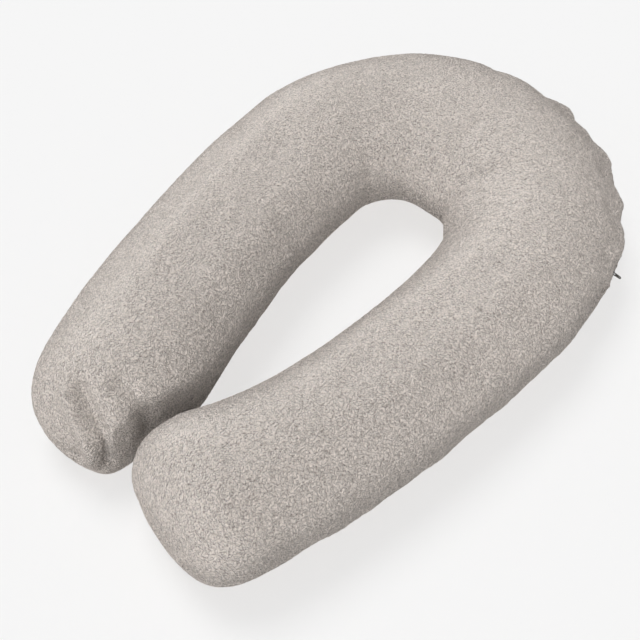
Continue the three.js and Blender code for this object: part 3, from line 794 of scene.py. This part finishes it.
def new_material(name, roughness, specular=0.5, sheen=0.0, metallic=0.0):
    made = bpy.data.materials.new(name)
    made.use_nodes = True
    shader = made.node_tree.nodes["Principled BSDF"]
    for key, value in {
        "Roughness": roughness,
        "Specular IOR Level": specular,
        "Sheen Weight": sheen,
        "Sheen Roughness": 0.5,
        "Sheen Tint": srgb(251, 245, 240),
        "Metallic": metallic,
    }.items():
        shader.inputs[key].default_value = value
    return made, made.node_tree, shader


def patterned(name, pattern, depth, strength, low, high, roughness, place=None, **shine):
    """A material from a pattern, which gives its relief and its shade from the low colour to the high one.

    The pattern follows a mesh attribute, or else the object's own space.
    """
    made, tree, shader = new_material(name, roughness, **shine)
    if place:
        where = add_node(tree, "ShaderNodeAttribute", attribute_name=place).outputs["Vector"]
    else:
        where = add_node(tree, "ShaderNodeTexCoord").outputs["Object"]
    height, shade = pattern(tree, where)
    bumps = add_node(tree, "ShaderNodeBump", {"Height": height, "Distance": depth, "Strength": strength})
    tree.links.new(bumps.outputs["Normal"], shader.inputs["Normal"])
    ramp = add_node(tree, "ShaderNodeValToRGB", {"Fac": shade})
    ramp.color_ramp.elements[0].color, ramp.color_ramp.elements[1].color = srgb(*low), srgb(*high)
    tree.links.new(ramp.outputs["Color"], shader.inputs["Base Color"])
    return made


def noise(tree, place, scale, detail=2.0):
    return add_node(tree, "ShaderNodeTexNoise", {"Vector": place, "Scale": scale, "Detail": detail}).outputs["Fac"]


def fleece(tree, place):
    # Colour: the curls' height, so the crevices are darker as painted shade, plus a random tone of the fleece's
    # own.
    curls = curl_nodes(tree, place)
    tone = muladd(tree, noise(tree, place, 40.0, 3.0), 0.1, -0.1)
    return muladd(tree, noise(tree, place, 1300.0), 0.35, curls), maths(tree, "ADD", curls, tone)


def weave(pitch):
    """A plain weave of threads that pass over and under both ways."""
    def pattern(tree, place):
        along, across = (
            maths(tree, "SINE", maths(tree, "MULTIPLY", axis, 2 * math.pi / pitch))
            for axis in split(tree, place)[:2]
        )
        height = muladd(tree, maths(tree, "MULTIPLY", along, across), 0.5, 0.5)
        # Colour: half a random tone of the cloth's own, half the weave's height, so threads are darker where they
        # pass under, as painted shade.
        return height, muladd(tree, noise(tree, place, 90.0, 3.0), 0.5, maths(tree, "MULTIPLY", height, 0.5))
    return pattern


def twist(tree, place):
    along, around = split(tree, place)[:2]
    phase = muladd(tree, along, 9000.0, maths(tree, "MULTIPLY", around, 2.0))
    height = muladd(tree, maths(tree, "SINE", phase), 0.5, 0.5)
    # The colour follows the height, so the grooves of the twist are darker, as painted shade.
    return height, height


def grain(tree, place):
    made = noise(tree, place, 900.0)
    return made, made


def wear(tree, place):
    worn = noise(tree, place, 700.0, 4.0)
    tree.links.new(muladd(tree, worn, 0.3, 0.2), tree.nodes["Principled BSDF"].inputs["Roughness"])
    return noise(tree, place, 2600.0, 3.0), worn


def fibres(tree, place):
    made = muladd(tree, noise(tree, place, 420.0, 6.0), 0.6, noise(tree, place, 45.0, 3.0))
    return made, made


def woven(name, low, high, pitch, roughness=0.8, sheen=0.0):
    return patterned(
        name, weave(pitch), pitch / 4, 0.6, low, high, roughness, "cloth_place", specular=0.3, sheen=sheen
    )


MATERIALS = {
    # The fleece's dark colour is painted shade for the crevices between its curls.
    "boucle_fabric": patterned(
        "curly_fleece", fleece, 6.5 * MM, 1.0, (101, 91, 84), (232, 220, 211), 0.95, "fleece_place",
        specular=0.15, sheen=0.8,
    ),
    "case_cotton": woven("case_cotton", (226, 222, 214), (246, 243, 237), 0.9 * MM),
    "loose_filling": patterned(
        "loose_fibre", fibres, 1.5 * MM, 0.6, (214, 212, 206), (250, 249, 246), 0.95, specular=0.1, sheen=0.4
    ),
    "sewing_thread": patterned(
        "twisted_thread", twist, 0.1 * MM, 0.7, (176, 168, 160), (214, 207, 199), 0.6, "cloth_place", specular=0.4
    ),
    "zip_tape": woven("zip_tape", (150, 142, 134), (190, 182, 174), 0.7 * MM),
    "zip_coil": patterned("zip_nylon", grain, 0.05 * MM, 0.3, (150, 141, 132), (186, 178, 169), 0.38),
    "satin_label": woven("satin_label", (236, 234, 229), (252, 251, 248), 0.35 * MM, 0.35, 0.3),
    "zip_metal": patterned("dark_metal", wear, 0.03 * MM, 0.35, (62, 60, 58), (118, 115, 112), 0.34, metallic=1.0),
}


def finish_piece(piece, slot, node, body="pillow"):
    """Gives a piece its material and its body, and hides the CAD node that it stands for."""
    piece.data.materials.clear()
    piece.data.materials.append(MATERIALS[slot])
    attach(piece, body)
    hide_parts(node)


# ---- the cover, the case and the filling
SIDES = (("top", True), ("bottom", False))
for half, is_upper in SIDES:
    finish_piece(
        panel(f"cover_{half}_fleece", is_upper), "boucle_fabric", f"cover_{half}_panel"
    )

depth_at_zip = zip_share * (1 - smooth(np.abs(above_seam), *ZIP_DEPTH_FADE)) * ZIP_DEPTH
CASE_EDGE_GAP = 0.3 * MM  # half the gap between the case's panels
CLUMPS = (0.8 * MM, 24 * MM, 31)


def layer(depth, floor):
    """Points of every fourth row and column of the skin, short of the tips, at a depth under it."""
    points = (skin - normals * (depth + depth_at_zip)[..., None])[COARSER:-COARSER:COARSER, ::COARSER]
    points[..., 2] = np.maximum(points[..., 2], floor)
    return points


def tipped(points):
    """Adds a row at each end with all its points at the middle of the end row."""
    middle = points.mean(axis=1, keepdims=True) + np.zeros_like(points)
    return np.concatenate([middle[:1], points, middle[-1:]])


def case_panel(name, is_upper):
    columns = np.arange(TOP_COUNT // COARSER + 1)
    if not is_upper:
        columns = np.append(np.arange(TOP_COUNT // COARSER, skin.shape[1] // COARSER), 0)
    outside, inside = (
        tipped(layer(depth, floor))[:, columns]
        for depth, floor in ((CASE_DEPTH, CASE_FLOOR), (CASE_DEPTH + CASE_THICKNESS, CASE_FLOOR + CASE_THICKNESS))
    )
    gap = CASE_EDGE_GAP if is_upper else -CASE_EDGE_GAP
    for side in (outside, inside):
        side[:, [0, -1], 2] += gap
        side[[0, -1], :, 2] += gap
    rows, cols = outside.shape[:2]
    wrapped = np.concatenate([outside, inside[:, ::-1]], axis=1)
    place = np.zeros_like(wrapped)
    place[..., 0] = np.arange(rows)[:, None] * STEP_ON_ARM * COARSER
    place[:, 1:, 1] = np.cumsum(np.linalg.norm(np.diff(wrapped[rows // 2], axis=0), axis=-1))
    obj = new_object(name, wrapped, grid_faces(rows, 2 * cols, True), {"cloth_place": place})
    weld(obj)
    return obj


for half, is_upper in SIDES:
    finish_piece(
        case_panel(f"inner_case_{half}", is_upper), "case_cotton", f"inner_case_{half}_panel"
    )

clumps = layer(FILLING_DEPTH, FILLING_FLOOR)
clumps = clumps - grid_normals(clumps, True) * (CLUMPS[0] + uneven(clumps, CLUMPS))[..., None]
clumps[..., 2] = np.maximum(clumps[..., 2], FILLING_FLOOR)
clumps = tipped(clumps)
filling = new_object("loose_filling", clumps, grid_faces(*clumps.shape[:2], True))
weld(filling)
finish_piece(filling, "loose_filling", "filling")


# ---- threads
def tube(name, path, reference, radius, closed):
    """A tube along a path. The reference vectors, never along the path, say which way is round."""
    if closed:
        tangent = np.roll(path, -1, axis=0) - np.roll(path, 1, axis=0)
        step = np.linalg.norm(np.roll(path, -1, axis=0) - path, axis=-1)
    else:
        tangent = np.gradient(path, axis=0)
        step = np.append(np.linalg.norm(np.diff(path, axis=0), axis=-1), 0)
    tangent /= np.linalg.norm(tangent, axis=-1, keepdims=True)
    first = np.cross(reference, tangent)
    first /= np.linalg.norm(first, axis=-1, keepdims=True)
    second = np.cross(tangent, first)
    sides = THREAD_SIDES
    turn = np.arange(sides) * 2 * math.pi / sides
    ring_out = first[:, None] * np.cos(turn)[:, None] + second[:, None] * np.sin(turn)[:, None]
    points = path[:, None] + ring_out * np.broadcast_to(radius, len(path))[:, None, None]
    place = np.zeros_like(points)
    place[..., 0] = (np.cumsum(step) - step)[:, None]
    place[..., 1] = turn
    rows = len(path)
    if closed:
        faces = [[index % (rows * sides) for index in face] for face in grid_faces(rows + 1, sides, True)]
    else:
        faces = grid_faces(rows, sides, True) + end_caps(rows, sides)
    return closed_object(name, points, faces, place)


STITCH = 3.2 * MM
STITCH_STEPS = 5
STITCH_NARROWING = 0.45
STITCH_RISE = 0.4
THREAD_SIDES = 6
TIP_ROWS = 4  # rows beside each tip that the seams leave out
COVER_THREAD, CASE_THREAD = 0.45 * MM, 0.4 * MM
COVER_SEAM = (5.2 * MM, 1.5 * MM)  # its depth and its lowest height
CASE_SEAM = (CASE_DEPTH + 2.0 * MM, CASE_FLOOR + 1.5 * MM)
SEAM_ENDS = (10, 118)  # degrees between which the zip takes the cover seam's place


def seam_path(depth, floor):
    """The seam's line at a depth under the skin: out along the outer side and back along the inner one."""
    points = skin - normals * (depth + depth_at_zip)[..., None]
    points[..., 2] = np.maximum(points[..., 2], floor)
    rows = slice(TIP_ROWS, -TIP_ROWS)
    return points[rows, 0], points[rows, TOP_COUNT][::-1]


def stitched(name, path, radius, closed):
    """A line of stitches: a thread that dips and narrows at every needle hole."""
    length = np.concatenate([[0], np.cumsum(np.linalg.norm(np.diff(path, axis=0), axis=-1))])
    count = int(length[-1] / (STITCH / STITCH_STEPS))
    even = np.linspace(0, length[-1], count, endpoint=not closed)
    path = np.stack([np.interp(even, length, path[:, k]) for k in range(3)], axis=-1)
    phase = np.abs(np.sin(even * math.pi / STITCH))
    path[:, 2] += radius * STITCH_RISE * phase
    narrowed = radius * (1 - STITCH_NARROWING + STITCH_NARROWING * phase)
    return tube(name, path, np.zeros_like(path) + (0, 0, 1.0), narrowed, closed)


outer_line, inner_line = seam_path(*COVER_SEAM)
outer_polar = polar[TIP_ROWS:-TIP_ROWS, 0]
from_front = np.argmax(outer_polar < SEAM_ENDS[0])
to_back = len(outer_polar) - np.argmax(outer_polar[::-1] > SEAM_ENDS[1])
cover_seam = stitched(
    "cover_seam_stitches", np.concatenate([outer_line[from_front:], inner_line, outer_line[:to_back]]),
    COVER_THREAD, False,
)
case_seam = stitched("inner_case_stitches", np.concatenate(seam_path(*CASE_SEAM)), CASE_THREAD, True)
finish_piece(cover_seam, "sewing_thread", "cover_seam_thread")
finish_piece(case_seam, "sewing_thread", "inner_case_seam_thread")


# ---- the zip
def on_rim(degrees, depth, rise):
    """Points at angles about the rim's centre, depths inside the rim and rises above the seam."""
    turn = np.radians(degrees)
    reach = RIM_RADIUS - depth
    return np.stack(
        [rim_centre.x + reach * np.cos(turn), rim_centre.y + reach * np.sin(turn), seam_height + rise + 0 * turn],
        axis=-1,
    )


def band_outline(spine, thickness, count):
    """A closed outline round a spine of [depth, rise] points in mm, with rounded edges."""
    place = np.clip(np.linspace(0, len(spine) - 1, count), 0, len(spine) - 1.001)
    index, weight = cubic_weights(place, len(spine), False)
    line = np.einsum("nk,nkc->nc", weight, np.array(spine)[index] * MM)
    tangent = np.gradient(line, axis=0)
    tangent /= np.linalg.norm(tangent, axis=-1, keepdims=True)
    side = np.stack([-tangent[:, 1], tangent[:, 0]], axis=-1) * thickness / 2
    side[[0, -1]] *= BAND_EDGE
    return np.concatenate([line + side, (line - side)[::-1]])


def rim_band(name, spine, thickness, limits, step=1.5 * MM, count=14, ripple=0.15 * MM):
    """A band of cloth along a stretch of the rim."""
    outline = band_outline(spine, thickness, count)[None]
    rows = max(4, math.ceil(math.radians(limits[1] - limits[0]) * RIM_RADIUS / step) + 1)
    degrees = np.linspace(*limits, rows)[:, None]
    wobble = uneven(on_rim(degrees, outline[..., 0], outline[..., 1]), (ripple, *BAND_RIPPLE))
    points = on_rim(degrees, outline[..., 0] + wobble, outline[..., 1])
    place = np.zeros_like(points)
    place[..., 0] = np.radians(degrees) * RIM_RADIUS
    place[..., 1] = outline[..., 1]
    sides = 2 * count
    ends = [
        [start + k for k in (corners if start else corners[::-1])]
        for side in range(count - 1)
        for corners in ((sides - 1 - side, sides - 2 - side, side + 1, side),)
        for start in (0, (rows - 1) * sides)
    ]
    return closed_object(name, points, grid_faces(rows, sides, True) + ends, place)


# Bands of cloth: thickness, the degrees they run between, and the spine as [depth, rise] in mm.
BAND_EDGE = 0.45  # how thick a band's edge is against the rest
BAND_RIPPLE = (13 * MM, 17)
TAPE = (
    ((3.75, 3.5), (3.95, 6.0), (4.5, 9.5), (5.05, 12.5), (5.65, 15.5)), 0.5 * MM, (14.6, 112.4),
)
GUARD = (
    ((8.8, -17), (7.7, -8.5), (7.3, 0), (7.7, 8.5), (8.8, 17)), 0.6 * MM, (13.5, 113.5),
)
LABEL = (
    ((4.35, -3), (4.6, -7.5), (5.15, -12), (6.4, -17), (7.95, -22)), 0.3 * MM, (4, 8), 1.0 * MM,
)
COIL_RANGE = (16.76, 110.6)
COIL_PITCH = 1.6 * MM
COIL_CENTRE = (3.4 * MM, 2.0 * MM)
COIL_REACH = (0.85 * MM, 1.2 * MM)
COIL_WIRE = 0.32 * MM
COIL_STEPS = 10
STOP_CENTRE, STOP_DEPTH, STOP_CUTS = 3.4, 2.6, 3
STOP_ROUNDING = 0.28 * MM
STOPS = (
    ("zip_top_stop_upper", (16.0, 16.7), (0.9, 3.2)),
    ("zip_top_stop_lower", (16.0, 16.7), (-3.2, -0.9)),
    ("zip_bottom_stop", (110.66, 111.4), (-3.2, 3.2)),
)
TACKS = (("zip_bar_tack_front", (14.8, 15.3)), ("zip_bar_tack_back", (111.8, 112.3)))
TACK_RIBS, TACK_SIDES, RIB_STEPS = 13, 12, 6
TACK_RISES = (-5 * MM, 5 * MM)
TACK_DEPTH, TACK_HALF, RIB_HEIGHT = 2.9 * MM, 0.25 * MM, 0.22 * MM


def coil(name, sign):
    """A nylon coil: one wire wound in flattened turns along the rim."""
    length = math.radians(COIL_RANGE[1] - COIL_RANGE[0]) * (RIM_RADIUS - COIL_CENTRE[0])
    turns = int(length / COIL_PITCH)
    count = turns * COIL_STEPS + 1
    phase = np.arange(count) * 2 * math.pi / COIL_STEPS
    degrees = np.linspace(*COIL_RANGE, count)
    depth = COIL_CENTRE[0] + COIL_REACH[0] * np.cos(phase)
    rise = sign * (COIL_CENTRE[1] + COIL_REACH[1] * np.sin(phase))
    path = on_rim(degrees, depth, rise)
    along = np.stack([-np.sin(np.radians(degrees)), np.cos(np.radians(degrees)), 0 * degrees], axis=-1)
    return tube(name, path, along, COIL_WIRE, False)


def clamp_block(name, limits, rises):
    """A small metal stop squeezed over the coil, with rounded edges."""
    mesh = bmesh.new()
    bmesh.ops.create_cube(mesh, size=1)
    bmesh.ops.subdivide_edges(mesh, edges=mesh.edges, cuts=STOP_CUTS, use_grid_fill=True)
    for vertex in mesh.verts:
        degrees = (limits[0] + limits[1]) / 2 + vertex.co.x * (limits[1] - limits[0])
        rise = (rises[0] + rises[1]) / 2 + vertex.co.z * (rises[1] - rises[0])
        vertex.co = on_rim(np.array(degrees), (STOP_CENTRE + STOP_DEPTH * vertex.co.y) * MM, rise * MM)
    sharp = [edge for edge in mesh.edges if edge.calc_face_angle(0) > 1]
    bmesh.ops.bevel(mesh, geom=sharp, offset=STOP_ROUNDING, segments=3, profile=0.6, affect="EDGES")
    obj = from_bmesh(name, mesh)
    turn_outwards(obj)
    return obj


def bar_tack(name, limits):
    """Close satin stitches across the zip's end: ribs along the rim, stacked from below to above."""
    rises = np.linspace(*TACK_RISES, TACK_RIBS * RIB_STEPS + 1)[:, None]
    rib = RIB_HEIGHT * np.abs(np.sin(np.arange(len(rises)) * math.pi / RIB_STEPS))[:, None]
    columns = np.linspace(0, 2 * math.pi, TACK_SIDES, endpoint=False)[None]
    degrees = sum(limits) / 2 + (limits[1] - limits[0]) / 2 * np.cos(columns) + 0 * rises
    points = on_rim(degrees, TACK_DEPTH - (TACK_HALF + rib) * np.sin(columns), rises)
    place = np.stack([points[..., 2], np.radians(degrees) * RIM_RADIUS, 0 * degrees], axis=-1)
    rows, sides = degrees.shape
    return closed_object(name, points, grid_faces(rows, sides, True) + end_caps(rows, sides), place)


def rounded_copy(name, node, bevel):
    """A copy of a CAD piece with its flat faces joined up and its edges rounded."""
    mesh = bmesh.new()
    mesh.from_mesh(bpy.data.objects[node].data)
    bmesh.ops.remove_doubles(mesh, verts=mesh.verts, dist=WELD_DISTANCE)
    bmesh.ops.dissolve_limit(mesh, angle_limit=math.radians(2), verts=mesh.verts, edges=mesh.edges)
    obj = from_bmesh(name, mesh)
    rounding = obj.modifiers.new("rounding", "BEVEL")
    rounding.width, rounding.segments = bevel, 3
    rounding.limit_method, rounding.angle_limit = "ANGLE", math.radians(25)
    apply_modifier(obj, rounding)
    obj.data.polygons.foreach_set("use_smooth", np.ones(len(obj.data.polygons), bool))
    obj.data.set_sharp_from_angle(angle=math.radians(40))
    return obj


for half, sign in (("upper", 1), ("lower", -1)):
    spine, *rest = TAPE
    tape = rim_band(f"zip_tape_{half}_woven", [(depth, sign * rise) for depth, rise in spine], *rest)
    finish_piece(tape, "zip_tape", f"zip_tape_{half}")
    finish_piece(coil(f"zip_coil_{half}_loops", sign), "zip_coil", f"zip_coil_{half}")
for node, limits, rises in STOPS:
    finish_piece(clamp_block(f"{node}_clamp", limits, rises), "zip_metal", node)
for node, limits in TACKS:
    finish_piece(bar_tack(f"{node}_stitches", limits), "sewing_thread", node)

guard = rim_band("zip_guard_strip", *GUARD, ripple=0.2 * MM, count=18)
finish_piece(guard, "case_cotton", "zip_guard")
finish_piece(rim_band("care_label_satin", *LABEL), "satin_label", "cover_care_label")
finish_piece(rounded_copy("slider_body", "zip_slider", 0.25 * MM), "zip_metal", "zip_slider", "zip_slider")
finish_piece(rounded_copy("pull_tab", "zip_pull_tab", 0.2 * MM), "zip_metal", "zip_pull_tab", "zip_pull")

# ---- stage, light and camera
CAMERA_AZIMUTH, CAMERA_ELEVATION = math.radians(40.33), math.radians(55.0)
CAMERA_DISTANCE = 1.848
LENS = 76.7
TARGET_FROM_BEND, TARGET_HEIGHT = (23.3 * MM, -214.7 * MM), 75.6 * MM
target = Vector((bend_centre.x + TARGET_FROM_BEND[0], bend_centre.y + TARGET_FROM_BEND[1], TARGET_HEIGHT))
back = Vector((
    math.sin(CAMERA_AZIMUTH) * math.cos(CAMERA_ELEVATION),
    -math.cos(CAMERA_AZIMUTH) * math.cos(CAMERA_ELEVATION),
    math.sin(CAMERA_ELEVATION),
))
camera_data = bpy.data.cameras.new("camera")
camera_data.lens = LENS
camera = bpy.data.objects.new("camera", camera_data)
camera.location = target + back * CAMERA_DISTANCE
camera.rotation_mode = "QUATERNION"
camera.rotation_quaternion = (-back).to_track_quat("-Z", "Y")
bpy.context.scene.collection.objects.link(camera)
bpy.context.scene.camera = camera

FLOOR_HALF = 8.0
FLOOR_COLOUR = (0.9, 0.9, 0.9, 1)
floor = new_object("floor", FLOOR_HALF * np.array([(-1, -1, 0), (1, -1, 0), (1, 1, 0), (-1, 1, 0)]), [(0, 1, 2, 3)])
floor_material, _, floor_shader = new_material("pale_floor", 0.9, specular=0.0)
floor_shader.inputs["Base Color"].default_value = FLOOR_COLOUR
floor.data.materials.append(floor_material)


def sun(name, azimuth, elevation, strength, angle):
    """A soft sun, by its place in degrees round from +X and above the horizon, and the angle it fills."""
    a, e = math.radians(azimuth), math.radians(elevation)
    to_sun = Vector((math.cos(a) * math.cos(e), math.sin(a) * math.cos(e), math.sin(e)))
    data = bpy.data.lights.new(name, "SUN")
    data.energy, data.angle = strength, math.radians(angle)
    lamp = bpy.data.objects.new(name, data)
    lamp.rotation_mode = "QUATERNION"
    lamp.rotation_quaternion = (-to_sun).to_track_quat("-Z", "Y")
    bpy.context.scene.collection.objects.link(lamp)
    return lamp


SKY_STRENGTH = 0.24
# The floor has a weak sun of its own that casts the pillow's shadow, and an even wash that nothing blocks.
FLOOR_SUNS = (("floor_sun", 160, 62, 0.5, 30), ("floor_wash", 0, 90, 2.02, 0))
PILLOW_SUNS = (
    ("key", 200, 76, 2.4, 14),
    ("front_fill", 305, 42, 2.1, 60),
    ("left_fill", 240, 30, 0.9, 14),
    ("right_fill", 20, 30, 0.35, 120),
)
just_the_floor = bpy.data.collections.new("just_the_floor")
just_the_floor.objects.link(floor)
the_pillow = bpy.data.collections.new("the_pillow")
for piece in bpy.context.scene.objects:
    if piece.type == "MESH" and piece is not floor:
        the_pillow.objects.link(piece)
for suns, lit in ((PILLOW_SUNS, the_pillow), (FLOOR_SUNS, just_the_floor)):
    for name, *settings in suns:
        lamp = sun(name, *settings)
        lamp.light_linking.receiver_collection = lit
        if name == "floor_wash":
            lamp.light_linking.blocker_collection = just_the_floor
world = bpy.data.worlds.new("studio")
bpy.context.scene.world = world
world.use_nodes = True
background = world.node_tree.nodes["Background"]
background.inputs["Color"].default_value = (1, 1, 1, 1)
background.inputs["Strength"].default_value = SKY_STRENGTH
bpy.context.scene.view_settings.view_transform = "Standard"
